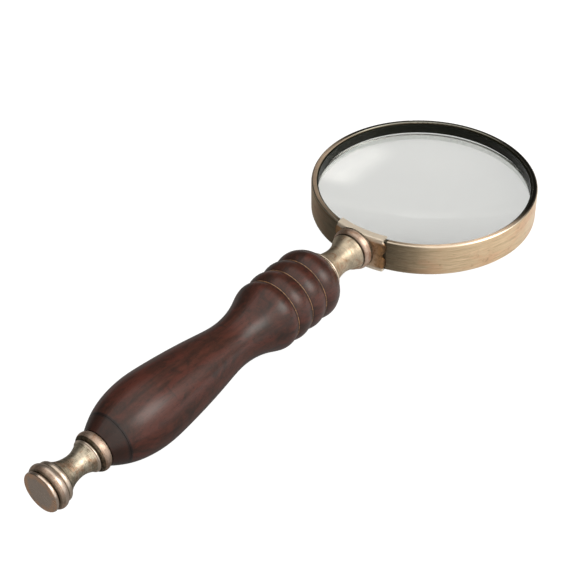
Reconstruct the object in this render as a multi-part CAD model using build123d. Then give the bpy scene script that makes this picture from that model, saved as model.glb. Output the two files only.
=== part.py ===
"""Hand-held magnifying glass with a turned wooden handle, built as its separate pieces.

Millimetres. The pieces are first made in the lens frame: the lens centre is the origin, +Z is the lens
axis and the handle runs along -X. A place along the handle is given as its distance from the lens centre.
At the end everything is laid down as the object rests on a table: on the rim's far edge and on the
foremost wooden bead.
"""
from build123d import *
from math import asin, atan2, degrees, hypot, sqrt
import os

# ---------------------------------------------------------------- driving dimensions
# Rim and lens. Heights are half heights, measured from the lens's middle plane.
RIM_RADIUS = 42.0
RIM_HALF_HEIGHT = 6.25
BAND_THICKNESS = 0.8
LIP_RADIUS = 39.9
BAND_CORNER = 1.0
LIP_CORNER = 0.7
LENS_RADIUS = 40.0
LENS_EDGE_HALF = 1.6
LENS_HALF_CENTRE = 3.9
RING_BORE_RADIUS = 39.4
RING_LENS_GAP = 0.15
RING_GAP = 10.2
BAND_SPLIT = 1.0

# Saddle: the stamped plate that is folded over the rim and holds its two ends together.
SADDLE_THICKNESS = 0.75
SADDLE_FLANGE_RADIUS = 39.7
SADDLE_HALF_WIDTH = 9.6
LOBE_RADIUS = 3.2
LOBE_REACH = 10.9
SADDLE_BEND = 0.7
SADDLE_TURN = 1.8

# Clamp stud: from inside the rim, through the saddle and the collar, into the neck.
CLAMP_STUD_RADIUS = 2.0
CLAMP_HEAD_WIDTH = 7.0
CLAMP_HEAD_HEIGHT = 9.4
CLAMP_HEAD_THICKNESS = 0.7
CLAMP_HEAD_CORNER = 1.2
CLAMP_STUD_END = 53.4

# Places along the handle, as distances from the lens centre.
COLLAR_REAR = 45.9
NECK_FRONT = 46.0
NECK_REAR = 61.4
WOOD_FRONT = 64.0
WOOD_REAR = 171.5
FINIAL_FRONT = 175.2
FINIAL_REAR = 193.7
HANDLE_END = 195.3

# Radii of the turned pieces.
COLLAR_RADIUS = 7.9
BEAD_RADIUS = 12.85
GROOVE_RADIUS = 11.8
FINIAL_BEAD_RADIUS = 7.85
BUTTON_RADIUS = 7.05

# The fine line cut around the wood near its rear end.
REAR_LINE = 166.6
REAR_LINE_RADIUS = 9.27
REAR_LINE_DEPTH = 0.22
REAR_LINE_HALF_WIDTH = 0.3

# The wood's three grooves, and the front bead's start, crest and end as (distance, radius).
FIRST_GROOVE = 74.2
GROOVE_PITCH = 7.4
GROOVES = [FIRST_GROOVE + index * GROOVE_PITCH for index in range(3)]
FRONT_BEAD = ((67.0, 11.95), (70.4, BEAD_RADIUS), (FIRST_GROOVE, GROOVE_RADIUS))

# Screw joints.
HANDLE_THREAD_RADIUS = 3.0
HANDLE_STUD_START = 55.0
HANDLE_THREAD_ENGAGED = 7.4
FINIAL_THREAD_RADIUS = 2.5
FINIAL_STUD_END = 183.5
FINIAL_THREAD_ENGAGED = 5.4
INSERT_WALL = 1.1
FRONT_INSERT_LENGTH = 14.0
REAR_INSERT_LENGTH = 11.0
DRILL_EXTRA = 1.0
SPIGOT_RADIUS = 1.6
SPIGOT_LENGTH = 6.0

# Clearances.
RUNNING = 0.08
SEAT = 0.05
FIXED = 0.02

# ---------------------------------------------------------------- helpers


def along(distance, radius):
    """A point of a turned outline: a distance from the lens centre and a radius from the handle's axis."""
    return (-distance, radius)


def straight(*points):
    """The open line through points given as (distance, radius)."""
    return Polyline(*[along(*point) for point in points])


def arc(start, middle, end):
    """The arc through three points given as (distance, radius)."""
    return ThreePointArc(along(*start), along(*middle), along(*end))


def smooth(*points, slopes=None):
    """A smooth line through points. Slopes are the radius's change per unit of distance at its two ends."""
    tangents = [(-1, slope) for slope in slopes] if slopes else None
    return Spline(*[along(*point) for point in points], tangents=tangents)


def turned(*edges):
    """The solid that a closed outline sweeps out around the handle's axis."""
    outline = make_face(edges)
    return revolve(Plane.XZ * outline, Axis.X)


def lathe_upright(*edges):
    """The solid that a closed outline of (radius, height) sweeps out around the lens's axis."""
    outline = make_face(edges)
    return revolve(Plane.XZ * outline, Axis.Z)


def rod(start, end, radius):
    """A plain cylinder along the handle's axis between two distances from the lens centre."""
    return turned(straight((start, 0), (start, radius), (end, radius), (end, 0), (start, 0)))


def handle_side_gap(width):
    """A block through the rim at the handle, to cut a gap of this width with."""
    return Pos(-RIM_RADIUS, 0, 0) * Box(RIM_RADIUS, width, 4 * RIM_HALF_HEIGHT)


# ---------------------------------------------------------------- lens and rim


def make_lens():
    """Biconvex glass: a short straight edge between two equal spherical faces."""
    edge_top = (LENS_RADIUS, LENS_EDGE_HALF)
    edge_bottom = (LENS_RADIUS, -LENS_EDGE_HALF)
    top = (0, LENS_HALF_CENTRE)
    bottom = (0, -LENS_HALF_CENTRE)
    sag = LENS_HALF_CENTRE - LENS_EDGE_HALF
    curve_radius = (LENS_RADIUS ** 2 + sag ** 2) / (2 * sag)
    middle_radius = LENS_RADIUS / 2
    middle_height = LENS_HALF_CENTRE - curve_radius + sqrt(curve_radius ** 2 - middle_radius ** 2)
    return lathe_upright(
        Line(bottom, top),
        ThreePointArc(top, (middle_radius, middle_height), edge_top),
        Line(edge_top, edge_bottom),
        ThreePointArc(edge_bottom, (middle_radius, -middle_height), bottom),
    )


def end_circles(solid, height, radius):
    """The circular edges of that radius on a solid's top and bottom faces, at plus and minus that height."""
    circles = solid.edges().filter_by(GeomType.CIRCLE)
    at_ends = [circle for circle in circles if abs(abs(circle.center().Z) - height) < SEAT]
    return [circle for circle in at_ends if abs(circle.radius - radius) < SEAT]


def make_rim_band():
    """Rolled strip with both edges turned in and rounded, closed at the handle over the clamp stud."""
    inner = RIM_RADIUS - BAND_THICKNESS
    lip_low = RIM_HALF_HEIGHT - BAND_THICKNESS
    section = Polyline(
        (RIM_RADIUS, -RIM_HALF_HEIGHT),
        (RIM_RADIUS, RIM_HALF_HEIGHT),
        (LIP_RADIUS, RIM_HALF_HEIGHT),
        (LIP_RADIUS, lip_low),
        (inner, lip_low),
        (inner, -lip_low),
        (LIP_RADIUS, -lip_low),
        (LIP_RADIUS, -RIM_HALF_HEIGHT),
        close=True,
    )
    band = lathe_upright(section)
    band = fillet(end_circles(band, RIM_HALF_HEIGHT, RIM_RADIUS), BAND_CORNER)
    band = fillet(end_circles(band, RIM_HALF_HEIGHT, LIP_RADIUS), LIP_CORNER)
    band -= handle_side_gap(BAND_SPLIT)
    return band - rod(RING_BORE_RADIUS, RIM_RADIUS + BAND_THICKNESS, CLAMP_STUD_RADIUS + RUNNING)


def make_upper_ring():
    """Plain black ring that holds the lens down from above. It is open at the handle for the clamp stud."""
    outer = RIM_RADIUS - BAND_THICKNESS - SEAT
    low = LENS_EDGE_HALF + RING_LENS_GAP
    high = RIM_HALF_HEIGHT - BAND_THICKNESS - SEAT
    ring = lathe_upright(
        Polyline(
            (RING_BORE_RADIUS, low),
            (outer, low),
            (outer, high),
            (RING_BORE_RADIUS + SEAT, high),
            close=True,
        )
    )
    return ring - handle_side_gap(RING_GAP)


def make_lower_ring():
    """Pale ring with a raised wall that centres the lens. It is open at the handle for the clamp stud."""
    outer = RIM_RADIUS - BAND_THICKNESS - SEAT
    seat = -LENS_EDGE_HALF - RING_LENS_GAP
    low = -RIM_HALF_HEIGHT + BAND_THICKNESS + SEAT
    wall = LENS_RADIUS + SEAT
    ring = lathe_upright(
        Polyline(
            (RING_BORE_RADIUS, seat),
            (wall, seat),
            (wall, LENS_EDGE_HALF + SEAT),
            (outer, LENS_EDGE_HALF + SEAT),
            (outer, low),
            (RING_BORE_RADIUS + SEAT, low),
            close=True,
        )
    )
    return ring - handle_side_gap(RING_GAP)


def make_saddle():
    """Sheet plate around the rim at the handle, folded over it above and below, with lobed side edges.

    It sits a little to one side of the handle, so its stud hole is cut last, where the stud passes.
    """
    inside_radius = RIM_RADIUS + SEAT
    inside_half = RIM_HALF_HEIGHT + SEAT
    outside_radius = inside_radius + SADDLE_THICKNESS
    outside_half = inside_half + SADDLE_THICKNESS
    shell = Cylinder(outside_radius, 2 * outside_half)
    shell = fillet(shell.edges().filter_by(GeomType.CIRCLE), SADDLE_BEND)
    hollow = Cylinder(inside_radius, 2 * inside_half)
    shell -= fillet(hollow.edges().filter_by(GeomType.CIRCLE), BAND_CORNER)
    outline = Rectangle(2 * SADDLE_HALF_WIDTH, 2 * outside_half)
    lobe_centre = LOBE_REACH - LOBE_RADIUS
    for side in (-1, 1):
        for level in (-1, 1):
            outline += Pos(side * lobe_centre, level * LOBE_RADIUS) * Circle(LOBE_RADIUS)
    shell -= Cylinder(SADDLE_FLANGE_RADIUS, 4 * outside_half)
    saddle = Rot(0, 0, SADDLE_TURN) * (shell & extrude(Plane.YZ * outline, -2 * outside_radius))
    hole_start = inside_radius - SADDLE_THICKNESS
    hole_end = outside_radius + SADDLE_THICKNESS
    return saddle - rod(hole_start, hole_end, CLAMP_STUD_RADIUS + RUNNING)


def make_clamp_stud():
    """Steel stud whose flat oblong head sits inside the rim and draws its ends and the saddle together."""
    band_inside = RIM_RADIUS - BAND_THICKNESS
    head_face = sqrt(band_inside ** 2 - (CLAMP_HEAD_WIDTH / 2) ** 2) - SEAT
    head_centre = head_face - CLAMP_HEAD_THICKNESS / 2
    head = Pos(-head_centre, 0, 0) * Box(CLAMP_HEAD_THICKNESS, CLAMP_HEAD_WIDTH, CLAMP_HEAD_HEIGHT)
    head = fillet(head.edges().filter_by(Axis.X), CLAMP_HEAD_CORNER)
    return head + rod(head_centre, CLAMP_STUD_END, CLAMP_STUD_RADIUS)


# ---------------------------------------------------------------- neck


def make_neck_collar():
    """Rounded disc between the saddle and the neck, coped to the saddle's curve."""
    bore = CLAMP_STUD_RADIUS + RUNNING
    front = RIM_RADIUS - 1
    shoulder = (COLLAR_REAR - 1.7, COLLAR_RADIUS)
    rear_edge = (COLLAR_REAR, COLLAR_RADIUS - 0.9)
    blank = turned(
        straight((COLLAR_REAR, bore), (front, bore), (front, COLLAR_RADIUS), shoulder),
        arc(shoulder, (COLLAR_REAR - 0.6, COLLAR_RADIUS - 0.25), rear_edge),
        straight(rear_edge, (COLLAR_REAR, bore)),
    )
    saddle_face = RIM_RADIUS + SADDLE_THICKNESS + 2 * SEAT
    return blank - Cylinder(saddle_face, 4 * COLLAR_RADIUS)


def make_neck():
    """Waisted metal neck, drilled from both ends for the clamp stud and the handle stud."""
    clamp_bore = CLAMP_STUD_RADIUS + FIXED
    stud_bore = HANDLE_THREAD_RADIUS + FIXED
    edge = (NECK_FRONT, 6.5)
    shoulder = (47.0, 6.85)
    foot = (NECK_REAR, 7.25)
    return turned(
        straight((NECK_FRONT, clamp_bore), edge),
        arc(edge, (46.35, 6.85), shoulder),
        smooth(shoulder, (48.6, 6.0), (51.0, 5.2), (54.0, 4.95), (57.5, 5.45), foot, slopes=(-0.35, 0.75)),
        straight(foot, (NECK_REAR, stud_bore), (HANDLE_STUD_START, stud_bore),
                 (HANDLE_STUD_START, clamp_bore), (NECK_FRONT, clamp_bore)),
    )


def make_handle_stud():
    """Steel M6 stud fixed in the neck. The handle screws onto its free end."""
    return rod(HANDLE_STUD_START + SEAT, WOOD_FRONT + HANDLE_THREAD_ENGAGED, HANDLE_THREAD_RADIUS)


def make_ferrule_ring():
    """Turned washer with two fine beads, loose on the stud between the neck and the wood."""
    front = NECK_REAR + SEAT
    rear = WOOD_FRONT - SEAT
    bore = HANDLE_THREAD_RADIUS + RUNNING
    middle = (front + rear) / 2
    front_foot = (front, 7.35)
    valley = (middle, 7.65)
    rear_foot = (rear, 7.9)
    return turned(
        straight((rear, bore), (front, bore), front_foot),
        arc(front_foot, ((front + middle) / 2, 8.0), valley),
        arc(valley, ((middle + rear) / 2, 8.4), rear_foot),
        straight(rear_foot, (rear, bore)),
    )


# ---------------------------------------------------------------- wooden handle


def make_wooden_handle():
    """One turned piece of dark wood: a domed front bead, two more beads, a waist and a pear-shaped palm."""
    front_hole = HANDLE_THREAD_RADIUS + INSERT_WALL + FIXED
    rear_hole = FINIAL_THREAD_RADIUS + INSERT_WALL + FIXED
    front_hole_end = WOOD_FRONT + FRONT_INSERT_LENGTH + DRILL_EXTRA
    rear_hole_end = WOOD_REAR - REAR_INSERT_LENGTH - DRILL_EXTRA
    front_rim = (WOOD_FRONT, 8.8)
    rear_rim = (WOOD_REAR, 6.5)
    beads = [
        arc((start, GROOVE_RADIUS), ((start + end) / 2, BEAD_RADIUS), (end, GROOVE_RADIUS))
        for start, end in zip(GROOVES, GROOVES[1:])
    ]
    wood = turned(
        straight((WOOD_FRONT, front_hole), front_rim),
        arc(front_rim, (65.1, 10.6), FRONT_BEAD[0]),
        arc(*FRONT_BEAD),
        *beads,
        smooth((GROOVES[-1], GROOVE_RADIUS), (92.4, 12.55), (98.0, 10.7), (104.0, 8.92), (111.5, 8.33),
               (120.5, 9.47), (131.0, 11.02), (142.0, 12.22), (150.6, 12.7), (158.0, 12.0), (164.0, 10.38),
               (168.2, 8.45), rear_rim),
        straight(rear_rim, (WOOD_REAR, rear_hole), (rear_hole_end, rear_hole), (rear_hole_end, 0),
                 (front_hole_end, 0), (front_hole_end, front_hole), (WOOD_FRONT, front_hole)),
    )
    line_bottom = (REAR_LINE, REAR_LINE_RADIUS - REAR_LINE_DEPTH)
    line_front = (REAR_LINE - REAR_LINE_HALF_WIDTH, REAR_LINE_RADIUS + 1)
    line_rear = (REAR_LINE + REAR_LINE_HALF_WIDTH, REAR_LINE_RADIUS + 1)
    return wood - turned(straight(line_bottom, line_front, line_rear, line_bottom))


def make_insert(start, end, thread_radius):
    """Brass threaded insert glued into the end of the wood."""
    bore = thread_radius + RUNNING
    outer = thread_radius + INSERT_WALL
    return turned(straight((start, bore), (start, outer), (end, outer), (end, bore), (start, bore)))


# ---------------------------------------------------------------- finial


def make_finial_collar():
    """Rounded washer between the wood and the finial, loose on the finial's stud."""
    front = WOOD_REAR + SEAT
    rear = FINIAL_FRONT - SEAT
    bore = FINIAL_THREAD_RADIUS + RUNNING
    front_edge = (front, 6.1)
    rear_edge = (rear, 6.05)
    return turned(
        straight((rear, bore), (front, bore), front_edge),
        arc(front_edge, ((front + rear) / 2, 6.95), rear_edge),
        straight(rear_edge, (rear, bore)),
    )


def make_finial():
    """Waisted metal end piece with a fine fillet ring and a large rounded bead."""
    stud_bore = FINIAL_THREAD_RADIUS + FIXED
    spigot_bore = SPIGOT_RADIUS + FIXED
    spigot_bore_end = FINIAL_REAR - SPIGOT_LENGTH
    recess = FINIAL_FRONT + 0.4
    lip_front = (recess, 5.5)
    foot = (recess + 0.7, 5.35)
    flare = (188.2, 6.3)
    ring_front = (188.5, 6.75)
    valley = (190.1, 6.8)
    rear_edge = (FINIAL_REAR, 6.0)
    return turned(
        straight((FINIAL_FRONT, stud_bore), (FINIAL_FRONT, 5.0), (recess, 5.0), lip_front),
        arc(lip_front, (recess + 0.3, 5.72), foot),
        smooth(foot, (177.8, 4.6), (179.6, 4.02), (181.6, 3.87), (184.4, 4.3), flare, slopes=(-0.6, 0.85)),
        straight(flare, ring_front),
        arc(ring_front, (189.4, 7.05), valley),
        arc(valley, (192.0, FINIAL_BEAD_RADIUS), rear_edge),
        straight(rear_edge, (FINIAL_REAR, spigot_bore), (spigot_bore_end, spigot_bore), (spigot_bore_end, 0),
                 (FINIAL_STUD_END, 0), (FINIAL_STUD_END, stud_bore), (FINIAL_FRONT, stud_bore)),
    )


def make_finial_stud():
    """Steel M5 stud fixed in the finial. It screws into the wood's rear insert."""
    return rod(WOOD_REAR - FINIAL_THREAD_ENGAGED, FINIAL_STUD_END - SEAT, FINIAL_THREAD_RADIUS)


def make_end_button():
    """Flat-faced cap pressed into the end of the finial on a short spigot."""
    front = FINIAL_REAR + SEAT
    spigot_tip = FINIAL_REAR - SPIGOT_LENGTH + SEAT
    front_edge = (front, 6.2)
    root = (front + 0.1, 6.5)
    face_edge = (HANDLE_END, BUTTON_RADIUS - 0.3)
    return turned(
        straight((spigot_tip, 0), (spigot_tip, SPIGOT_RADIUS), (front, SPIGOT_RADIUS), front_edge, root),
        arc(root, (HANDLE_END - 0.6, BUTTON_RADIUS), face_edge),
        straight(face_edge, (HANDLE_END, 0), (spigot_tip, 0)),
    )


# ---------------------------------------------------------------- laying it down


def resting_tilt():
    """The angle, in degrees, by which the lens end dips when the object lies on the rim and a bead.

    The rim's lower edge and the front bead are round in section. The table is the line that touches both
    section circles from below.
    """
    bead = arc(*FRONT_BEAD)
    bead_centre = bead.arc_center
    bead_round = bead.radius
    rim_centre = (RIM_RADIUS - BAND_CORNER, RIM_HALF_HEIGHT - BAND_CORNER)
    run = rim_centre[0] - bead_centre.X
    drop = bead_centre.Y - rim_centre[1]
    return degrees(atan2(drop, run) + asin((bead_round - BAND_CORNER) / hypot(run, drop)))


def lay_down(pieces):
    """Turns all pieces to rest on a table at height 0, with the origin under the middle of the whole."""
    tilt = resting_tilt()
    tilted = {name: Rot(0, tilt, 0) * piece for name, piece in pieces.items()}
    box = Compound(tilted.values()).bounding_box()
    to_origin = Pos(-(box.min.X + box.max.X) / 2, -(box.min.Y + box.max.Y) / 2, -box.min.Z)
    print("tilt in degrees", round(tilt, 4), "and lens centre", tuple(to_origin.position))
    return {name: to_origin * piece for name, piece in tilted.items()}


def make_pieces():
    """Every piece in the lens frame, by name."""
    return {
        "lens": make_lens(),
        "rim_band": make_rim_band(),
        "upper_retaining_ring": make_upper_ring(),
        "lower_retaining_ring": make_lower_ring(),
        "saddle_plate": make_saddle(),
        "clamp_stud": make_clamp_stud(),
        "neck_collar": make_neck_collar(),
        "neck": make_neck(),
        "handle_stud": make_handle_stud(),
        "ferrule_ring": make_ferrule_ring(),
        "wooden_handle": make_wooden_handle(),
        "front_insert": make_insert(WOOD_FRONT, WOOD_FRONT + FRONT_INSERT_LENGTH, HANDLE_THREAD_RADIUS),
        "rear_insert": make_insert(WOOD_REAR - REAR_INSERT_LENGTH, WOOD_REAR, FINIAL_THREAD_RADIUS),
        "finial_collar": make_finial_collar(),
        "finial": make_finial(),
        "finial_stud": make_finial_stud(),
        "end_button": make_end_button(),
    }


os.makedirs("parts", exist_ok=True)
for node, solid in lay_down(make_pieces()).items():
    export_step(solid, f"parts/{node}.step")
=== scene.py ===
"""The magnifying glass's visual model: materials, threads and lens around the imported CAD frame, a floor,
lights and a camera. Metres, in the CAD frame. Materials work in millimetres, in the lens's own frame.
"""
from collections import namedtuple
from math import cos, pi, radians, sin, sqrt, tan

import bmesh
import bpy
from mathutils import Matrix, Vector


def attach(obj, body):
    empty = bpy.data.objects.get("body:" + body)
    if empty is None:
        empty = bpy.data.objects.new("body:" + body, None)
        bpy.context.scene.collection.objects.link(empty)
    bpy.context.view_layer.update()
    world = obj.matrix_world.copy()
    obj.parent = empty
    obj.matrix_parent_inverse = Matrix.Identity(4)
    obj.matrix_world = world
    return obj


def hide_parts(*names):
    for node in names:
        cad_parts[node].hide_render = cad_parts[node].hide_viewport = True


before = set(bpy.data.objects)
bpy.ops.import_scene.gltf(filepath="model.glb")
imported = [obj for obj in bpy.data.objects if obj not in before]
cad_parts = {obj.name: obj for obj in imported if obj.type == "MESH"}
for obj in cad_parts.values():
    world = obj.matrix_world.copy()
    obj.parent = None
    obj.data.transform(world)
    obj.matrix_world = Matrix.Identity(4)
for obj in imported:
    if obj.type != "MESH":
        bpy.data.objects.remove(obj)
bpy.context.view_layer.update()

# ---------------------------------------------------------------- dimensions that the CAD model has too
# Millimetres, except where MM turns them into metres. Places along the handle are given as the distance
# from the lens's centre.
MM = 0.001
TILT = radians(3.3941)
LENS_CENTRE = Vector((76.5591, 0.0, 8.6682)) * MM
LENS_X = Vector((cos(TILT), 0.0, -sin(TILT)))
LENS_Z = Vector((sin(TILT), 0.0, cos(TILT)))
SIDE = Vector((0.0, 1.0, 0.0))

RIM_RADIUS = 42.0
RIM_HALF_HEIGHT = 6.25
LIP_RADIUS = 39.9
SADDLE_SIDE = -1.32
LENS_RADIUS = 40.0
LENS_EDGE_HALF = 1.6
LENS_HALF_CENTRE = 3.9
GROOVES = (74.2, 81.6, 89.0)
REAR_LINE = 166.6
END_FACE = 195.3

# ---------------------------------------------------------------- camera
# In the lens's frame: x from the handle towards the lens, z along the lens's axis.
CAMERA_PLACE = (-370.91, -240.39, 306.52)
CAMERA_RIGHT = (0.6311, -0.7756, -0.0100)
CAMERA_FORWARD = (0.6017, 0.4977, -0.6247)
FOCAL_LENGTH = 89.06
SENSOR_WIDTH = 36.0
CLIP_START = 0.01


def from_lens_frame(vector):
    """A direction given in the lens's frame, in the CAD frame."""
    return LENS_X * vector[0] + SIDE * vector[1] + LENS_Z * vector[2]


def make_camera():
    """The camera at the place and angle that the object is shown from."""
    data = bpy.data.cameras.new("camera")
    data.lens = FOCAL_LENGTH
    data.sensor_width = SENSOR_WIDTH
    data.clip_start = CLIP_START
    camera = bpy.data.objects.new("camera", data)
    back = -from_lens_frame(CAMERA_FORWARD).normalized()
    up = back.cross(from_lens_frame(CAMERA_RIGHT)).normalized()
    right = up.cross(back)
    place = LENS_CENTRE + from_lens_frame(CAMERA_PLACE) * MM
    camera.matrix_world = Matrix.Translation(place) @ Matrix((right, up, back)).transposed().to_4x4()
    bpy.context.collection.objects.link(camera)
    bpy.context.scene.camera = camera


make_camera()

# ---------------------------------------------------------------- node graphs

# How strongly brushing stretches a highlight, and the angle from the brushing to the stretch, where 1 is a
# full turn.
BRUSHING = 0.6
BRUSHING_TURN = 0.25


class Graph:
    """A node tree, with one short call for each kind of node."""

    def __init__(self, tree):
        self.tree = tree

    def add(self, kind, inputs, **settings):
        """Adds a node. Inputs are by name or number, and each is a value or another node's output."""
        node = self.tree.nodes.new(kind)
        for key, value in settings.items():
            setattr(node, key, value)
        for key, value in inputs.items():
            if isinstance(value, bpy.types.NodeSocket):
                self.tree.links.new(value, node.inputs[key])
            else:
                node.inputs[key].default_value = value
        return node

    def math(self, operation, first, second=0.0, third=0.0):
        return self.add("ShaderNodeMath", {0: first, 1: second, 2: third}, operation=operation).outputs[0]

    def plus(self, first, second):
        return self.math("ADD", first, second)

    def minus(self, first, second):
        return self.math("SUBTRACT", first, second)

    def times(self, first, second):
        return self.math("MULTIPLY", first, second)

    def larger(self, first, second):
        return self.math("MAXIMUM", first, second)

    def without(self, value, share, amount=1.0):
        """Value where share is 0, and less of it by that amount where share is 1."""
        return self.times(value, self.minus(1.0, self.times(share, amount)))

    def weighted(self, *parts):
        """The sum of parts, each of them a (value, weight)."""
        (value, weight), *others = parts
        total = self.times(value, weight)
        for value, weight in others:
            total = self.plus(total, self.times(value, weight))
        return total

    def length(self, first, second):
        """How far the point (first, second) is from (0, 0)."""
        return self.math("SQRT", self.plus(self.times(first, first), self.times(second, second)))

    def vector(self, operation, first, second):
        return self.add("ShaderNodeVectorMath", {0: first, 1: second}, operation=operation).outputs

    def dot(self, first, second):
        return self.vector("DOT_PRODUCT", first, second)["Value"]

    def combine(self, x, y, z):
        return self.add("ShaderNodeCombineXYZ", {0: x, 1: y, 2: z}).outputs[0]

    def stretched(self, point, factors):
        """The point (x, y, z), each times its factor. A large factor makes a pattern finer that way."""
        return self.combine(*[self.times(value, factor) for value, factor in zip(point, factors)])

    def noise(self, at, scale=1.0, detail=2.0, roughness=0.5, distortion=0.0):
        values = {"Vector": at, "Scale": scale, "Detail": detail, "Roughness": roughness,
                  "Distortion": distortion}
        return self.add("ShaderNodeTexNoise", values).outputs[0]

    def between(self, value, low, high, low_gives=0.0, high_gives=1.0):
        """A smooth step: low_gives where value is below low, high_gives where it is above high."""
        values = {0: value, 1: low, 2: high, 3: low_gives, 4: high_gives}
        return self.add("ShaderNodeMapRange", values, interpolation_type="SMOOTHSTEP").outputs[0]

    def band(self, value, centre, half_width, softness):
        """1 where value is within half_width of centre, fading to 0 over softness."""
        away = self.math("ABSOLUTE", self.minus(value, centre))
        return self.between(away, half_width, half_width + softness, 1.0, 0.0)

    def mix(self, share, first, second):
        """The colour between first, where share is 0, and second, where it is 1."""
        return self.add("ShaderNodeMix", {0: share, 6: first, 7: second}, data_type="RGBA").outputs[2]

    def ramp(self, value, stops):
        """A colour from value, by stops of (value, colour)."""
        node = self.add("ShaderNodeValToRGB", {0: value})
        elements = node.color_ramp.elements
        while len(elements) < len(stops):
            elements.new(0.5)
        for element, (position, colour) in zip(elements, stops):
            element.position = position
            element.color = colour
        return node.outputs[0]

    def light_path(self):
        """Whether a ray comes straight from the camera, and whether it has come through the lens."""
        path = self.add("ShaderNodeLightPath", {}).outputs
        return path["Is Camera Ray"], self.math("GREATER_THAN", path["Transmission Depth"], 0.5)


class Material(Graph):
    """The node tree of a new material."""

    def __init__(self, name):
        self.material = bpy.data.materials.new(name)
        self.material.use_nodes = True
        super().__init__(self.material.node_tree)
        self.tree.nodes.clear()
        self.output = self.tree.nodes.new("ShaderNodeOutputMaterial")

    def here(self):
        """Position in the CAD frame, in metres."""
        return self.add("ShaderNodeTexCoord", {}).outputs["Object"]

    def lens_frame(self):
        """Position in the lens's frame, in millimetres, as (x, y, z) outputs."""
        offset = self.vector("SUBTRACT", self.here(), LENS_CENTRE)["Vector"]
        return [self.dot(offset, axis / MM) for axis in (LENS_X, SIDE, LENS_Z)]

    def bump(self, height, strength, distance, normal=None):
        """A normal bent by height. Distance is the height's size in millimetres."""
        values = {"Strength": strength, "Distance": distance * MM, "Height": height}
        if normal is not None:
            values["Normal"] = normal
        return self.add("ShaderNodeBump", values).outputs[0]

    def principled(self, inputs):
        """Ends the graph with a Principled BSDF, and gives the material."""
        node = self.add("ShaderNodeBsdfPrincipled", inputs)
        self.tree.links.new(node.outputs[0], self.output.inputs["Surface"])
        return self.material

    def brushed(self, colour, roughness, normal, axis):
        """Ends the graph as a metal that is brushed around the axis, and gives the material."""
        around = self.add("ShaderNodeTangent", {}, direction_type="RADIAL", axis=axis).outputs[0]
        return self.principled({"Base Color": colour, "Metallic": 1.0, "Roughness": roughness,
                                "Normal": normal, "Anisotropic": BRUSHING,
                                "Anisotropic Rotation": BRUSHING_TURN, "Tangent": around})


def rgb(red, green, blue):
    return (red, green, blue, 1.0)


WHITE = rgb(1.0, 1.0, 1.0)

# ---------------------------------------------------------------- turned metal

WORN = rgb(0.92, 0.76, 0.57)
WORN_PINK = rgb(0.97, 0.74, 0.60)
WORN_PALE = rgb(0.88, 0.79, 0.63)
WORN_GOLD = rgb(0.92, 0.79, 0.60)
COPPER = rgb(0.62, 0.33, 0.19)
BRONZE = rgb(0.47, 0.35, 0.21)
ROSE = rgb(0.95, 0.60, 0.47)
POLISHED_HIGHLIGHT = rgb(0.98, 0.82, 0.69)
PATINA = rgb(0.095, 0.080, 0.048)
END_TAUPE = rgb(0.70, 0.57, 0.48)
END_COPPER = rgb(0.98, 0.60, 0.38)
END_STAIN = rgb(0.38, 0.31, 0.26)
# How much of the colour and of the patina a polished line, painted as a highlight, replaces.
LINE_SHARE = 0.85


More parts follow.
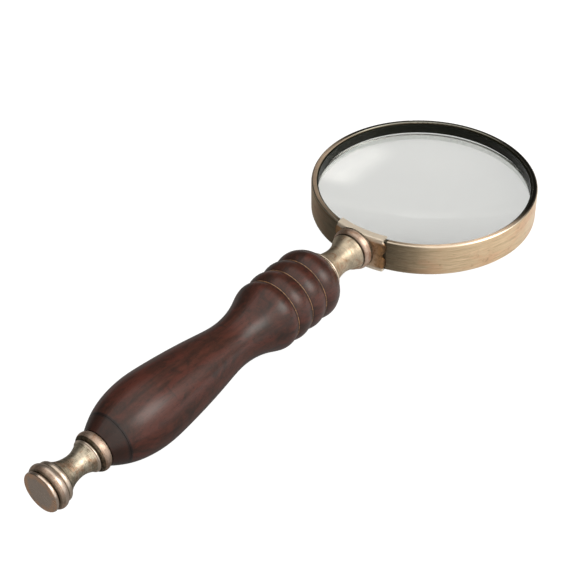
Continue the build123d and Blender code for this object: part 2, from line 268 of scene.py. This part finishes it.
def turned_metal(name, worn, patina_amount, seed, roughness=0.3, recesses=(), polished_highlight_lines=(), blush=None,
                 end_face=None):
    """Antique copper on a piece turned around the handle's axis.

    Recesses are the (distance, half width, strength) of grooves that hold dark patina. Polished highlight
    lines are the (distance, half width) of edges that handling has polished and that are painted paler as
    highlights, and blush is that of a part that shows more rose copper. End face is the distance of a flat
    end that is stained.
    """
    g = Material(name)
    x, y, z = g.lens_frame()
    distance = g.times(x, -1.0)
    radius = g.length(y, z)
    away_from_axis = g.larger(radius, 0.5)
    round_y = g.math("DIVIDE", y, away_from_axis)
    round_z = g.math("DIVIDE", z, away_from_axis)
    position = g.combine(g.plus(x, seed), y, z)

    # Lathe marks run around the piece.
    marks = g.noise(g.stretched((x, round_y, round_z), (6.0, 1.8, 1.8)), detail=4.0, roughness=0.7)
    fine = g.noise(g.stretched((x, round_y, round_z), (26.0, 5.0, 5.0)), detail=2.0, roughness=0.6)

    # Patina: broad clouds, blotches and specks, and more of it in the marks and the recesses.
    clouds = g.noise(position, scale=0.17, detail=2.0, roughness=0.55)
    blotches = g.noise(position, scale=0.85, detail=5.0, roughness=0.66, distortion=0.3)
    specks = g.noise(position, scale=4.5, detail=3.0, roughness=0.6)
    patina = g.weighted((clouds, 0.6), (blotches, 0.4), (specks, 0.35), (marks, 0.5))
    share = g.times(g.between(patina, 0.78, 1.08), patina_amount)
    for centre, half_width, strength in recesses:
        ring = g.band(distance, centre, half_width, half_width)
        ring = g.times(ring, g.between(blotches, 0.25, 0.6, 0.6, 1.0))
        share = g.larger(share, g.times(ring, strength))

    warm = g.between(g.noise(position, scale=0.30, detail=3.0, roughness=0.6, distortion=0.8), 0.47, 0.68)
    metal = g.mix(g.times(warm, 0.7), worn, COPPER)
    metal = g.mix(g.between(fine, 0.42, 0.7, 0.0, 0.3), metal, BRONZE)
    if blush is not None:
        centre, half_width = blush
        part = g.band(distance, centre, half_width, 0.1)
        metal = g.mix(g.times(part, g.between(blotches, 0.35, 0.65, 0.25, 0.7)), metal, ROSE)
        share = g.without(share, part, 0.35)
    # Painted highlights: edges that are polished are also painted paler where they catch the light.
    lines = [g.band(distance, centre, half_width, half_width) for centre, half_width in polished_highlight_lines]
    for line in lines:
        metal = g.mix(g.times(line, LINE_SHARE), metal, POLISHED_HIGHLIGHT)
        share = g.without(share, line, LINE_SHARE)
    colour = g.mix(share, metal, PATINA)
    if end_face is not None:
        flat = g.between(distance, end_face - 0.2, end_face - 0.05)
        colour = g.mix(g.times(flat, 0.9), colour, stained_end(g, y, z, radius, seed))

    rough = g.plus(g.between(marks, 0.25, 0.8, roughness, roughness + 0.1), g.times(share, 0.15))
    for line in lines:
        rough = g.minus(rough, g.times(line, 0.1))
    normal = g.bump(g.weighted((marks, 1.0), (fine, 0.5)), strength=0.3, distance=0.012)
    normal = g.bump(specks, strength=0.2, distance=0.012, normal=normal)
    return g.brushed(colour, rough, normal, "X")


def stained_end(g, y, z, radius, seed):
    """The colour of a stained flat end: taupe in the middle, with copper patches near its edge."""
    stain = g.noise(g.combine(y, z, seed), scale=0.42, detail=4.0, roughness=0.6, distortion=0.5)
    patches = g.times(g.between(stain, 0.36, 0.54), g.between(radius, 4.2, 5.8))
    patches = g.larger(patches, g.between(radius, 6.0, 6.5, 0.0, 0.7))
    face = g.mix(patches, END_TAUPE, END_COPPER)
    return g.mix(g.between(stain, 0.28, 0.42, 0.4, 0.0), face, END_STAIN)


# ---------------------------------------------------------------- rim, saddle plate and plain metal

RIM_BRUSHING = (
    (0.26, rgb(0.42, 0.31, 0.18)),
    (0.47, rgb(0.72, 0.545, 0.345)),
    (0.70, rgb(0.95, 0.745, 0.52)),
)
# A paler tone painted on the rim's far side, as a reflection of the bright floor in front of it.
RIM_PALE_REFLECTION = rgb(1.0, 0.84, 0.65)
RIM_COPPER = rgb(0.74, 0.46, 0.28)
# Painted reflections on the outer edges and lip tops: pale highlights on the handle's side, dark
# reflections on the far side, and a painted highlight line on the far lip's inner corner.
EDGE_NEAR_HIGHLIGHT = rgb(0.96, 0.84, 0.68)
EDGE_FAR_DARK_REFLECTION = rgb(0.13, 0.11, 0.08)
LIP_NEAR_HIGHLIGHT = rgb(1.0, 0.80, 0.61)
LIP_FAR_DARK_REFLECTION = rgb(0.09, 0.085, 0.065)
LIP_CORNER_HIGHLIGHT = rgb(0.36, 0.36, 0.31)
# The colour of grime blotches, of painted shade beside and under the saddle plate, and of the darkened
# inside.
RIM_GRIME_AND_SHADE = rgb(0.060, 0.056, 0.040)
# How dark the inside of the rim is made.
INSIDE_DARKENING = 0.97


def rim_metal(name):
    """Brushed antique brass on the rim. Brushing runs around it. Its edges and the tops of its lips are
    painted
    with reflections: a pale highlight on the handle's side and a dark reflection on the far side.
    """
    g = Material(name)
    x, y, z = g.lens_frame()
    radius = g.length(x, y)
    brushing = g.noise(g.stretched((x, y, z), (0.13, 0.13, 5.5)), detail=4.0, roughness=0.68)
    fine = g.noise(g.stretched((x, y, z), (0.4, 0.4, 22.0)), detail=2.0, roughness=0.6)
    clouds = g.noise(g.stretched((x, y, z), (1.0, 1.0, 2.5)), scale=0.075, detail=4.0, roughness=0.6)
    blotches = g.noise(g.combine(x, y, z), scale=0.5, detail=5.0, roughness=0.65, distortion=0.3)

    # Where it is on the rim: the outer edges, the flat tops of the lips, and the far side.
    corner = g.between(g.math("ABSOLUTE", z), RIM_HALF_HEIGHT - 0.7, RIM_HALF_HEIGHT - 0.2)
    outer = g.between(radius, RIM_RADIUS - 0.75, RIM_RADIUS - 0.5)
    edge = g.times(corner, outer)
    lip_top = g.without(corner, outer)
    far = g.between(x, -12.0, 12.0)

    metal = g.ramp(brushing, RIM_BRUSHING)
    # The rim is painted paler towards its far side: a painted reflection of the bright floor in front of
    # it.
    metal = g.mix(g.between(x, -8.0, 28.0, 0.0, 0.45), metal, RIM_PALE_REFLECTION)
    metal = g.mix(g.between(clouds, 0.45, 0.65, 0.0, 0.6), metal, RIM_COPPER)
    # Painted reflections: edges and lip tops pale on the handle's side and dark on the far side, and a
    # painted highlight line on the far lip's inner corner.
    metal = g.mix(g.times(edge, 0.95), metal, g.mix(g.between(x, -4.0, 22.0), EDGE_NEAR_HIGHLIGHT, EDGE_FAR_DARK_REFLECTION))
    metal = g.mix(lip_top, metal, g.mix(far, LIP_NEAR_HIGHLIGHT, LIP_FAR_DARK_REFLECTION))
    lip_corner_highlight = g.times(g.band(radius, LIP_RADIUS + 0.3, 0.07, 0.12), g.between(x, 0.0, 25.0))
    metal = g.mix(g.times(lip_corner_highlight, corner), metal, LIP_CORNER_HIGHLIGHT)

    # Grime in blotches, and painted shade: beside the saddle plate, where the rim reflects the dark handle,
    # and under the plate's lobes. All of the inside is darkened as well.
    share = g.between(g.weighted((blotches, 1.0), (clouds, 0.6)), 0.86, 1.2, 0.0, 0.6)
    # Painted shade beside the saddle plate, standing in for the dark handle reflected in the rim there.
    shade_by_saddle = g.between(g.weighted((x, 1.0), (blotches, 3.0)), -40.0, -29.0, 0.92, 0.0)
    share = g.larger(share, g.times(shade_by_saddle, g.between(brushing, 0.2, 0.7, 1.0, 0.7)))
    share = g.without(share, edge, 0.8)
    # Painted shade in the gap under the saddle plate's lobes.
    from_saddle = g.math("ABSOLUTE", g.minus(y, SADDLE_SIDE))
    shade_under_saddle = g.times(g.between(from_saddle, 10.5, 10.9, 1.0, 0.0),
                           g.between(x, -36.0, -35.0, 1.0, 0.0))
    share = g.larger(share, g.times(shade_under_saddle, 0.95))
    bore = g.between(radius, LIP_RADIUS, LIP_RADIUS + 0.15, INSIDE_DARKENING, 0.0)
    between_lips = g.times(g.minus(1.0, outer), g.minus(INSIDE_DARKENING, corner))
    share = g.larger(share, g.larger(bore, between_lips))
    colour = g.mix(share, metal, RIM_GRIME_AND_SHADE)

    rough = g.plus(g.between(brushing, 0.25, 0.8, 0.36, 0.46), g.times(share, 0.15))
    rough = g.minus(rough, g.times(g.larger(edge, g.times(corner, far)), 0.18))
    rough = g.plus(rough, g.times(g.without(lip_top, far), 0.2))
    normal = g.bump(g.weighted((brushing, 1.0), (fine, 0.6)), strength=0.35, distance=0.014)
    return g.brushed(colour, rough, normal, "Z")


SADDLE_LOBE = rgb(0.56, 0.315, 0.15)
SADDLE_LOBE_DARK = rgb(0.40, 0.23, 0.115)
SADDLE_MIDDLE = rgb(0.78, 0.58, 0.41)
SADDLE_MIDDLE_DARK = rgb(0.60, 0.38, 0.22)
# Polished metal painted pale as a highlight, on the fold and flanges.
SADDLE_FOLD_POLISH_AND_HIGHLIGHT = rgb(1.0, 0.91, 0.78)
# The colour of grime blotches, and of painted shade along the lobes' edges.
SADDLE_GRIME_AND_SHADE = rgb(0.13, 0.085, 0.05)


def saddle_metal(name):
    """The stamped plate: polished and painted pale as a highlight on its fold and flanges, orange-brown and
    stained on its side lobes, with painted shade along their edges.
    """
    g = Material(name)
    x, y, z = g.lens_frame()
    blotches = g.noise(g.combine(x, y, z), scale=0.55, detail=4.0, roughness=0.62, distortion=0.4)
    specks = g.noise(g.combine(x, y, z), scale=3.0, detail=3.0, roughness=0.6)
    fold = g.between(g.math("ABSOLUTE", z), RIM_HALF_HEIGHT - 1.3, RIM_HALF_HEIGHT - 0.2)
    out = g.math("ABSOLUTE", g.minus(y, SADDLE_SIDE))
    lobe = g.mix(g.between(blotches, 0.4, 0.62), SADDLE_LOBE, SADDLE_LOBE_DARK)
    middle = g.mix(g.between(blotches, 0.42, 0.66), SADDLE_MIDDLE, SADDLE_MIDDLE_DARK)
    metal = g.mix(g.between(out, 5.5, 9.0), middle, lobe)
    # The fold and flanges are polished, and painted pale as a highlight of the light they catch.
    metal = g.mix(fold, metal, SADDLE_FOLD_POLISH_AND_HIGHLIGHT)
    share = g.between(g.weighted((blotches, 1.0), (specks, 0.3)), 0.68, 0.92, 0.0, 0.7)
    # Painted shade along the lobes' edges, where the plate stands off the rim.
    edge_shade = g.between(g.weighted((out, 1.0), (blotches, 1.2)), 10.4, 11.6, 0.0, 0.9)
    share = g.without(g.larger(share, edge_shade), fold, 0.95)
    rough = g.plus(g.between(blotches, 0.2, 0.8, 0.36, 0.44), g.times(fold, 0.28))
    normal = g.bump(g.plus(specks, blotches), strength=0.3, distance=0.02)
    return g.principled({"Base Color": g.mix(share, metal, SADDLE_GRIME_AND_SHADE), "Metallic": 1.0,
                         "Roughness": rough, "Normal": normal})


def plain_metal(name, light, dark, roughness):
    """A machined metal with lathe marks, for the studs, the inserts and the lower ring."""
    g = Material(name)
    x, y, z = g.lens_frame()
    marks = g.noise(g.stretched((x, y, z), (7.0, 0.5, 0.5)), detail=3.0, roughness=0.6)
    stains = g.noise(g.combine(x, y, z), scale=0.6, detail=3.0, roughness=0.6)
    colour = g.mix(g.between(marks, 0.35, 0.7), light, dark)
    colour = g.mix(g.between(stains, 0.55, 0.8, 0.0, 0.5), colour, dark)
    rough = g.between(stains, 0.3, 0.7, roughness, roughness + 0.15)
    normal = g.bump(marks, strength=0.3, distance=0.015)
    return g.principled({"Base Color": colour, "Metallic": 1.0, "Roughness": rough, "Normal": normal})


# ---------------------------------------------------------------- wood

WOOD_GRAIN = (
    (0.34, rgb(0.020, 0.009, 0.0055)),
    (0.46, rgb(0.052, 0.0175, 0.0105)),
    (0.57, rgb(0.085, 0.026, 0.0155)),
    (0.70, rgb(0.14, 0.041, 0.025)),
)
WOOD_RED = rgb(0.13, 0.030, 0.019)
WOOD_SHADOW = rgb(0.016, 0.0095, 0.006)
WOOD_PORE = rgb(0.008, 0.004, 0.004)
GROOVE_SHADE = rgb(0.012, 0.004, 0.003)
GROOVE_TAN_LINE = rgb(0.40, 0.21, 0.105)
REAR_LINE_SHADE = rgb(0.008, 0.005, 0.005)
REAR_END_SHADE = rgb(0.020, 0.008, 0.005)


def rosewood(name):
    """Dark reddish-brown wood with black streaks and fine pores along the handle, under satin lacquer."""
    g = Material(name)
    x, y, z = g.lens_frame()
    distance = g.times(x, -1.0)

    # Growth layers are shells around a far centre, bent a little along the handle.
    sway = g.noise(g.stretched((x, y, z), (0.018, 0.05, 0.05)), detail=2.0, roughness=0.5)
    across_y = g.plus(y, g.math("MULTIPLY_ADD", sway, 9.0, 17.0))
    across_z = g.plus(z, g.math("MULTIPLY_ADD", sway, -7.0, -11.0))
    shell = g.length(across_y, across_z)
    layers = g.noise(g.combine(shell, g.times(x, 0.012), 0.0), scale=0.55, detail=4.0, roughness=0.62,
                     distortion=0.15)
    streaks = g.noise(g.stretched((x, y, z), (0.045, 1.1, 1.1)), detail=5.0, roughness=0.62)
    pores = g.noise(g.stretched((x, y, z), (0.35, 6.5, 6.5)), detail=2.0, roughness=0.5)
    figure = g.noise(g.stretched((x, y, z), (0.35, 1.0, 1.0)), scale=0.16, detail=3.0, roughness=0.6,
                     distortion=1.2)
    mottle = g.noise(g.stretched((x, y, z), (0.5, 1.0, 1.0)), scale=0.27, detail=5.0, roughness=0.62,
                     distortion=1.4)
    dark_areas = g.noise(g.combine(x, y, z), scale=0.11, detail=4.0, roughness=0.6, distortion=1.6)

    colour = g.ramp(g.weighted((layers, 0.42), (streaks, 0.28), (mottle, 0.30)), WOOD_GRAIN)
    colour = g.mix(g.between(figure, 0.42, 0.68, 0.0, 0.6), colour, WOOD_RED)
    colour = g.mix(g.between(dark_areas, 0.46, 0.72, 0.0, 0.65), colour, WOOD_SHADOW)
    pore_share = g.between(pores, 0.60, 0.70, 0.0, 0.65)
    colour = g.mix(pore_share, colour, WOOD_PORE)

    # Each groove between the beads is darkened with painted shade, and has a thin tan line on its edge that
    # is nearer to the lens.
    for groove in GROOVES:
        shade = g.band(distance, groove + 0.15, 0.25, 0.7)
        colour = g.mix(g.times(shade, 0.85), colour, GROOVE_SHADE)
        line = g.band(distance, groove - 0.12, 0.06, 0.10)
        colour = g.mix(g.times(line, g.between(mottle, 0.38, 0.6, 0.35, 1.0)), colour, GROOVE_TAN_LINE)

    # A dark line runs around the wood near its rear end, and the wood is darker behind it.
    rear_line = g.band(distance, REAR_LINE, 0.3, 0.5)
    colour = g.mix(g.times(rear_line, 0.8), colour, REAR_LINE_SHADE)
    colour = g.mix(g.between(distance, REAR_LINE, REAR_LINE + 0.5, 0.0, 0.6), colour, REAR_END_SHADE)

    roughness = g.plus(g.between(streaks, 0.3, 0.7, 0.40, 0.50), g.times(pore_share, 0.15))
    grain_relief = g.weighted((streaks, 0.5), (pore_share, -0.6))
    lacquer_relief = g.noise(g.combine(x, y, z), scale=0.45, detail=2.0, roughness=0.5)
    return g.principled({"Base Color": colour, "Roughness": roughness, "IOR": 1.45,
                         "Normal": g.bump(grain_relief, strength=0.25, distance=0.05),
                         "Specular IOR Level": 0.3, "Coat Weight": 0.7, "Coat Roughness": 0.24,
                         "Coat IOR": 1.48,
                         "Coat Normal": g.bump(lacquer_relief, strength=0.12, distance=0.08)})


# ---------------------------------------------------------------- black ring and glass

RING_BLACK = rgb(0.006, 0.007, 0.0035)
RING_WORN = rgb(0.016, 0.018, 0.010)
RING_DUST = rgb(0.06, 0.062, 0.045)
GLASS_CLEAR = rgb(0.975, 0.985, 0.965)
GLASS_SMEARED = rgb(0.965, 0.975, 0.955)
GLASS_IOR = 1.52


def black_ring(name):
    """Satin black with faint turning marks and a little dust on it."""
    g = Material(name)
    x, y, z = g.lens_frame()
    marks = g.noise(g.stretched((x, y, z), (0.08, 0.08, 8.0)), detail=3.0, roughness=0.6)
    dust = g.noise(g.combine(x, y, z), scale=1.6, detail=4.0, roughness=0.7)
    colour = g.mix(g.between(marks, 0.3, 0.75), RING_BLACK, RING_WORN)
    colour = g.mix(g.between(dust, 0.58, 0.78, 0.0, 0.3), colour, RING_DUST)
    return g.principled({"Base Color": colour, "Roughness": g.between(dust, 0.3, 0.75, 0.34, 0.5),
                         "Normal": g.bump(marks, strength=0.35, distance=0.03), "Specular IOR Level": 0.3})


def lens_glass(name):
    """Clear polished glass with the faintest smears."""
    g = Material(name)
    x, y, z = g.lens_frame()
    smears = g.noise(g.stretched((x, y, z), (1.0, 1.7, 1.0)), scale=0.09, detail=4.0, roughness=0.55,
                     distortion=0.7)
    tint = g.mix(g.between(smears, 0.3, 0.7), GLASS_CLEAR, GLASS_SMEARED)
    return g.principled({"Base Color": tint, "Roughness": g.between(smears, 0.45, 0.75, 0.0, 0.003),
                         "IOR": GLASS_IOR, "Transmission Weight": 1.0})


# ---------------------------------------------------------------- pieces made here

def lathe(name, outline, axis_from, axis_to, segments):
    """A closed turned mesh. Outline is (distance, radius) from axis_from along the line to axis_to."""
    along = (axis_to - axis_from).normalized()
    first = SIDE - along * SIDE.dot(along)
    first.normalize()
    second = along.cross(first)
    mesh = bmesh.new()
    rings = []
    for distance, radius in outline:
        centre = axis_from + along * (distance * MM)
        if radius <= 0:
            rings.append([mesh.verts.new(centre)])
            continue
        ring = []
        for index in range(segments):
            angle = 2 * pi * index / segments
            ring.append(mesh.verts.new(centre + (first * cos(angle) + second * sin(angle)) * (radius * MM)))
        rings.append(ring)
    for lower, upper in zip(rings, rings[1:]):
        for index in range(segments):
            after = (index + 1) % segments
            corners = [lower[index % len(lower)], lower[after % len(lower)],
                       upper[after % len(upper)], upper[index % len(upper)]]
            unique = list(dict.fromkeys(corners))
            if len(unique) > 2:
                mesh.faces.new(unique)
    bmesh.ops.recalc_face_normals(mesh, faces=mesh.faces)
    return finished(name, mesh)


def finished(name, mesh):
    """The object of a bmesh, shaded smooth, in the scene."""
    data = bpy.data.meshes.new(name)
    mesh.to_mesh(data)
    mesh.free()
    piece = bpy.data.objects.new(name, data)
    bpy.context.collection.objects.link(piece)
    for face in data.polygons:
        face.use_smooth = True
    return piece


LENS_RINGS = 28
LENS_SEGMENTS = 160
LENS_CHAMFER = 0.15
# How much higher a face is where its chamfer starts than at the lens's full radius.
LENS_CHAMFER_RISE = 0.02
LENS_SHARP_ANGLE = radians(30)


def lens_face(side):
    """The (height, radius) points of a spherical face, from its middle to its chamfer.

    Side is 1 for the upper face and -1 for the lower one.
    """
    sag = LENS_HALF_CENTRE - LENS_EDGE_HALF
    ball = (LENS_RADIUS ** 2 + sag ** 2) / (2 * sag)
    points = []
    for index in range(LENS_RINGS + 1):
        radius = LENS_RADIUS * index / LENS_RINGS
        height = LENS_HALF_CENTRE - ball + sqrt(ball ** 2 - radius ** 2)
        points.append((side * height, radius))
    edge_height = points[-1][0]
    points[-1] = (edge_height + side * LENS_CHAMFER_RISE, LENS_RADIUS - LENS_CHAMFER)
    return points


def make_lens():
    """The lens with even quads, so that what is seen through it isn't faceted."""
    edge_height = LENS_EDGE_HALF - LENS_CHAMFER
    edge = [(edge_height, LENS_RADIUS), (-edge_height, LENS_RADIUS)]
    outline = lens_face(1) + edge + lens_face(-1)[::-1]
    lens = lathe("lens_glass", outline, LENS_CENTRE, LENS_CENTRE + LENS_Z * MM, LENS_SEGMENTS)
    lens.data.set_sharp_from_angle(angle=LENS_SHARP_ANGLE)
    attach(lens, "head")
    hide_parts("lens")
    lens.data.materials.append(lens_glass("lens_glass"))


# The threaded studs: where each starts and ends, where its plain part ends, its radius and its pitch.
HANDLE_STUD = {"start": 55.05, "end": 71.4, "plain_end": 61.0, "thread_radius": 3.0, "pitch": 1.0}
FINIAL_STUD = {"start": 183.45, "end": 166.1, "plain_end": 176.5, "thread_radius": 2.5, "pitch": 0.8}
THREAD_STEPS_PER_TURN = 10
THREAD_POINTS_AROUND = 40
# The thread's depth as a share of its pitch, and how much of each flank is flat at its top and its bottom.
THREAD_DEPTH = 0.6
THREAD_FLAT = 0.1
THREAD_SHARP_ANGLE = radians(40)


def make_threaded_stud(name, node, body, material, start, end, plain_end, thread_radius, pitch):
    """A stud with a real right-hand thread from plain_end to end, and a chamfered tip at end."""
    depth = THREAD_DEPTH * pitch
    low, high = min(start, end), max(start, end)
    towards_end = 1 if end > start else -1
    count = round((high - low) / pitch * THREAD_STEPS_PER_TURN)
    away = -LENS_X
    first = SIDE
    second = away.cross(first)
    mesh = bmesh.new()
    rings = []
    for step in range(count + 1):
        distance = low + (high - low) * step / count
        threaded = (distance - plain_end) * towards_end > 0
        tip_radius = thread_radius - depth + abs(end - distance)
        ring = []
        for index in range(THREAD_POINTS_AROUND):
            turn = index / THREAD_POINTS_AROUND
            phase = (distance / pitch - turn) % 1.0
            tooth = 1.0 - abs(2.0 * phase - 1.0)
            cut = depth * min(1.0, max(0.0, (tooth - THREAD_FLAT) / (1.0 - 2.0 * THREAD_FLAT)))
            radius = min(thread_radius - (cut if threaded else 0.0), tip_radius)
            angle = 2 * pi * turn
            direction = first * cos(angle) + second * sin(angle)
            ring.append(mesh.verts.new(LENS_CENTRE + away * (distance * MM) + direction * (radius * MM)))
        rings.append(ring)
    for lower, upper in zip(rings, rings[1:]):
        for index in range(THREAD_POINTS_AROUND):
            after = (index + 1) % THREAD_POINTS_AROUND
            mesh.faces.new((lower[index], lower[after], upper[after], upper[index]))
    mesh.faces.new(rings[0])
    mesh.faces.new(rings[-1])
    bmesh.ops.recalc_face_normals(mesh, faces=mesh.faces)
    stud = finished(name, mesh)
    stud.data.set_sharp_from_angle(angle=THREAD_SHARP_ANGLE)
    stud.data.materials.append(material)
    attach(stud, body)
    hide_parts(node)


# ---------------------------------------------------------------- which piece has which material

STEEL = rgb(0.62, 0.61, 0.59)
STEEL_DARK = rgb(0.36, 0.355, 0.35)
BRASS = rgb(0.80, 0.60, 0.28)
BRASS_DARK = rgb(0.48, 0.33, 0.14)
# Pale for the lower ring, chosen so that it looks as bright through the lens as the floor does: painted
# light, as its real colour isn't known.
PALE = rgb(0.86, 0.87, 0.85)
PALE_DARK = rgb(0.74, 0.75, 0.73)


def paint(node, material):
    """Gives a CAD node its material."""
    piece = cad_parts[node]
    piece.data.materials.clear()
    piece.data.materials.append(material)


def paint_head_and_wood():
    """The rim with its plate and rings, and the wood with its inserts."""
    paint("rim_band", rim_metal("rim_metal"))
    paint("saddle_plate", saddle_metal("saddle_metal"))
    paint("upper_retaining_ring", black_ring("black_ring"))
    # The lower ring is painted pale, as light seen through the lens.
    paint("lower_retaining_ring", plain_metal("pale_ring", PALE, PALE_DARK, 0.4))
    paint("wooden_handle", rosewood("rosewood"))
    brass = plain_metal("insert_brass", BRASS, BRASS_DARK, 0.28)
    paint("front_insert", brass)
    paint("rear_insert", brass)


def paint_turned_pieces():
    """The turned metal pieces, from the saddle plate to the end of the handle."""
    paint("neck_collar", turned_metal("neck_collar_metal", WORN_PINK, patina_amount=0.25, seed=3.0,
                                      roughness=0.42, recesses=((42.8, 0.4, 1.0), (46.15, 0.2, 1.0))))
    paint("neck", turned_metal("neck_metal", WORN_GOLD, patina_amount=0.36, seed=11.0,
                               roughness=0.41, recesses=((46.3, 0.25, 1.0), (61.2, 0.5, 0.9))))
    paint("ferrule_ring", turned_metal("ferrule_metal", WORN, patina_amount=0.15, seed=19.0,
                                       roughness=0.42,
                                       recesses=((62.68, 0.2, 1.0), (61.5, 0.15, 0.9), (63.9, 0.15, 0.9)),
                                       polished_highlight_lines=((62.05, 0.2), (63.3, 0.25))))
    paint("finial_collar", turned_metal("finial_collar_metal", WORN_PINK, patina_amount=0.5, seed=27.0,
                                        roughness=0.46,
                                        recesses=((171.6, 0.25, 1.0), (175.0, 0.3, 0.95))))
    paint("finial", turned_metal("finial_metal", WORN_PALE, patina_amount=0.8, seed=35.0,
                                 roughness=0.41,
                                 recesses=((175.4, 0.3, 0.8), (188.1, 0.25, 1.0), (190.1, 0.2, 1.0),
                                           (193.7, 0.35, 1.0)),
                                 polished_highlight_lines=((176.1, 0.3), (189.2, 0.5), (191.5, 0.5)),
                                 blush=(191.9, 1.6)))
    paint("end_button", turned_metal("end_button_metal", WORN_PINK, patina_amount=0.3, seed=43.0,
                                     recesses=((193.9, 0.2, 1.0),), polished_highlight_lines=((194.9, 0.3),),
                                     end_face=END_FACE))


def paint_and_make_studs():
    """The clamp stud, and the two studs with real threads."""
    steel = plain_metal("stud_steel", STEEL, STEEL_DARK, 0.3)
    paint("clamp_stud", steel)
    make_threaded_stud("handle_stud_thread", "handle_stud", "head", steel, **HANDLE_STUD)
    make_threaded_stud("finial_stud_thread", "finial_stud", "finial_end_piece", steel, **FINIAL_STUD)


# ---------------------------------------------------------------- floor

FLOOR_HALF_WIDTH = 6.0
FLOOR_COLOUR = rgb(0.25, 0.25, 0.25)
# The floor's own glow. It lights the object with the first two, behind and in front of it, and looks like
# the others through the lens and to the camera.
FLOOR_GLOW_BACK = 0.03
FLOOR_GLOW_FRONT = 0.75
FLOOR_GLOW_THROUGH_LENS = 0.66
FLOOR_GLOW_SEEN = 0.95
# The azimuth of the front, in degrees, and the places ahead, in metres, between which the glow changes.
FRONT_AZIMUTH = -48
GLOW_CHANGES_FROM = -0.03
GLOW_CHANGES_TO = 0.13


def direction(azimuth, elevation):
    """The unit vector to that azimuth and elevation, in degrees."""
    flat = cos(radians(elevation))
    return Vector((flat * cos(radians(azimuth)), flat * sin(radians(azimuth)), sin(radians(elevation))))


def make_floor():
    """A wide grey floor that glows: softly where it lights the object, and nearly white to the camera."""
    mesh = bmesh.new()
    corners = [mesh.verts.new((side_x * FLOOR_HALF_WIDTH, side_y * FLOOR_HALF_WIDTH, 0.0))
               for side_x, side_y in ((-1, -1), (1, -1), (1, 1), (-1, 1))]
    mesh.faces.new(corners)
    floor = finished("floor", mesh)
    g = Material("floor")
    ahead = g.dot(g.here(), direction(FRONT_AZIMUTH, 0))
    glow = g.between(ahead, GLOW_CHANGES_FROM, GLOW_CHANGES_TO, FLOOR_GLOW_BACK, FLOOR_GLOW_FRONT)
    from_camera, through_lens = g.light_path()
    for seen, seen_glow in ((through_lens, FLOOR_GLOW_THROUGH_LENS), (from_camera, FLOOR_GLOW_SEEN)):
        glow = g.math("MULTIPLY_ADD", seen, seen_glow, g.without(glow, seen))
    floor.data.materials.append(g.principled({"Base Color": FLOOR_COLOUR, "Roughness": 0.9,
                                              "Specular IOR Level": 0.0, "Emission Color": WHITE,
                                              "Emission Strength": glow}))


# ---------------------------------------------------------------- light

# Angles in degrees. An edge fades from 1 - softness to 1 + softness of the half width or half height.
SoftBox = namedtuple("SoftBox", "azimuth elevation half_width half_height softness strength")
SOFT_BOXES = (
    SoftBox(azimuth=-95, elevation=30, half_width=42, half_height=27, softness=0.4, strength=0.9),
    SoftBox(azimuth=-69, elevation=41, half_width=15, half_height=14, softness=0.7, strength=3.9),
    SoftBox(azimuth=-42, elevation=22, half_width=14, half_height=13, softness=0.7, strength=0.8),
    SoftBox(azimuth=0, elevation=90, half_width=36, half_height=36, softness=0.5, strength=0.95),
)
# This one shows only through the lens.
LENS_SOFT_BOX = SoftBox(azimuth=3, elevation=42, half_width=9, half_height=12, softness=0.4, strength=3.6)
# A soft box doesn't show in directions that are nearly at a right angle to its own, or further from it.
SIDEWAYS = 0.01
ROOM_LIGHT = 0.07
LIGHT_COLOUR = rgb(1.0, 0.965, 0.915)
# How bright the camera sees the backdrop at least.
BACKDROP_SEEN = 1.0
# The heights of a direction between which the low wall that shows through the lens fades out.
WALL_FADES_FROM = 0.1
WALL_FADES_TO = 0.4


def share_of_soft_box(g, towards, box):
    """How much of the soft box there is in the direction towards, from 0 to 1."""
    centre = direction(box.azimuth, box.elevation)
    across = direction(box.azimuth + 90, 0)
    upward = centre.cross(across)
    ahead = g.dot(towards, centre)
    depth = g.larger(ahead, SIDEWAYS)
    share = g.math("GREATER_THAN", ahead, SIDEWAYS)
    for axis, half_angle in ((across, box.half_width), (upward, box.half_height)):
        reach = tan(radians(half_angle))
        offset = g.math("ABSOLUTE", g.math("DIVIDE", g.dot(towards, axis), depth))
        inside = g.between(offset, reach * (1 - box.softness), reach * (1 + box.softness), 1.0, 0.0)
        share = g.times(share, inside)
    return share


def make_light():
    """Soft boxes far away in a dim room.

    To the camera the backdrop is white. Through the lens there is also a low wall, as bright as the floor
    looks there.
    """
    world = bpy.data.worlds.new("world")
    world.use_nodes = True
    g = Graph(world.node_tree)
    towards = g.add("ShaderNodeTexCoord", {}).outputs["Generated"]
    from_camera, through_lens = g.light_path()
    total = ROOM_LIGHT
    for box in SOFT_BOXES:
        total = g.math("MULTIPLY_ADD", share_of_soft_box(g, towards, box), box.strength, total)
    lens_box = g.times(share_of_soft_box(g, towards, LENS_SOFT_BOX), through_lens)
    total = g.math("MULTIPLY_ADD", lens_box, LENS_SOFT_BOX.strength, total)
    height = g.dot(towards, (0.0, 0.0, 1.0))
    wall = g.times(through_lens, g.between(height, WALL_FADES_FROM, WALL_FADES_TO, 1.0, 0.0))
    total = g.larger(total, g.times(wall, FLOOR_GLOW_THROUGH_LENS))
    total = g.larger(total, g.times(from_camera, BACKDROP_SEEN))
    background = g.tree.nodes["Background"]
    g.tree.links.new(g.mix(from_camera, LIGHT_COLOUR, WHITE), background.inputs["Color"])
    g.tree.links.new(total, background.inputs["Strength"])
    bpy.context.scene.world = world


# ---------------------------------------------------------------- putting it together

paint_head_and_wood()
paint_turned_pieces()
paint_and_make_studs()
make_lens()
make_floor()
make_light()

scene = bpy.context.scene
scene.view_settings.view_transform = "Standard"
scene.view_settings.look = "None"
